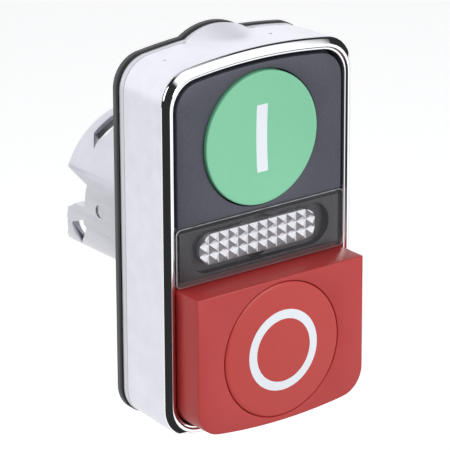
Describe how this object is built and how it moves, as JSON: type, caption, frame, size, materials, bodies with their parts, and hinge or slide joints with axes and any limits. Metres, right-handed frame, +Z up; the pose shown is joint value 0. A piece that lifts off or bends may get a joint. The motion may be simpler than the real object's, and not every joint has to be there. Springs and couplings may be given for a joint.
{
  "type": "twin push-button head",
  "caption": "Upright chrome-bezelled control head with a flush start button, a clear pilot window and a projecting stop button, for a round panel hole.",
  "frame": {"origin": "centre of the mounting collar on the panel's front face, where the seal rests", "axes": "+X to the right seen from the front, +Y back through the panel along the collar, +Z up towards the start button"},
  "size_m": [0.03, 0.0383, 0.0518],
  "materials": {
    "polished_chrome": "satin chrome sides with a mirror-polished front lip",
    "satin_chrome": "satin plated zinc die casting",
    "seal_rubber": "matt moulded rubber",
    "black_plastic": "fine spark-eroded texture",
    "grey_plastic": "fine spark-eroded texture",
    "clear_plastic": "clear polished moulding",
    "green_plastic": "satin moulded plastic",
    "red_plastic": "satin moulded plastic",
    "white_plastic": "second-shot moulded symbol",
    "natural_plastic": "low-friction moulded plastic",
    "spring_steel": "drawn stainless wire",
    "plated_steel": "zinc-plated screw"
  },
  "bodies": {
    "housing": {"bezel_shell": "polished_chrome", "body_casting": "satin_chrome", "panel_seal": "seal_rubber", "button_frame": "black_plastic", "front_gasket": "seal_rubber", "front_insert": "grey_plastic", "lamp_housing": "black_plastic", "light_guide": "clear_plastic", "prism_diffuser": "clear_plastic", "lens_cover": "clear_plastic", "stem_seal": "seal_rubber", "guide_plate": "black_plastic", "frame_screws": "plated_steel", "start_spring": "spring_steel", "stop_spring": "spring_steel"},
    "start_button": {"start_cap": "green_plastic", "start_symbol": "white_plastic", "start_plunger": "natural_plastic"},
    "stop_button": {"stop_head": "red_plastic", "stop_cap": "red_plastic", "stop_symbol": "white_plastic", "stop_plunger": "natural_plastic"}
  },
  "joints": [
    {"name": "start_press", "type": "slide", "parent": "housing", "child": "start_button", "axis": [0, 1, 0], "range_m": [0, 0.0043], "stiffness_N_per_m": 450, "springref_m": -0.0035, "deforming": ["start_spring"]},
    {"name": "stop_press", "type": "slide", "parent": "housing", "child": "stop_button", "axis": [0, 1, 0], "range_m": [0, 0.0043], "stiffness_N_per_m": 450, "springref_m": -0.0035, "deforming": ["stop_spring"]}
  ]
}
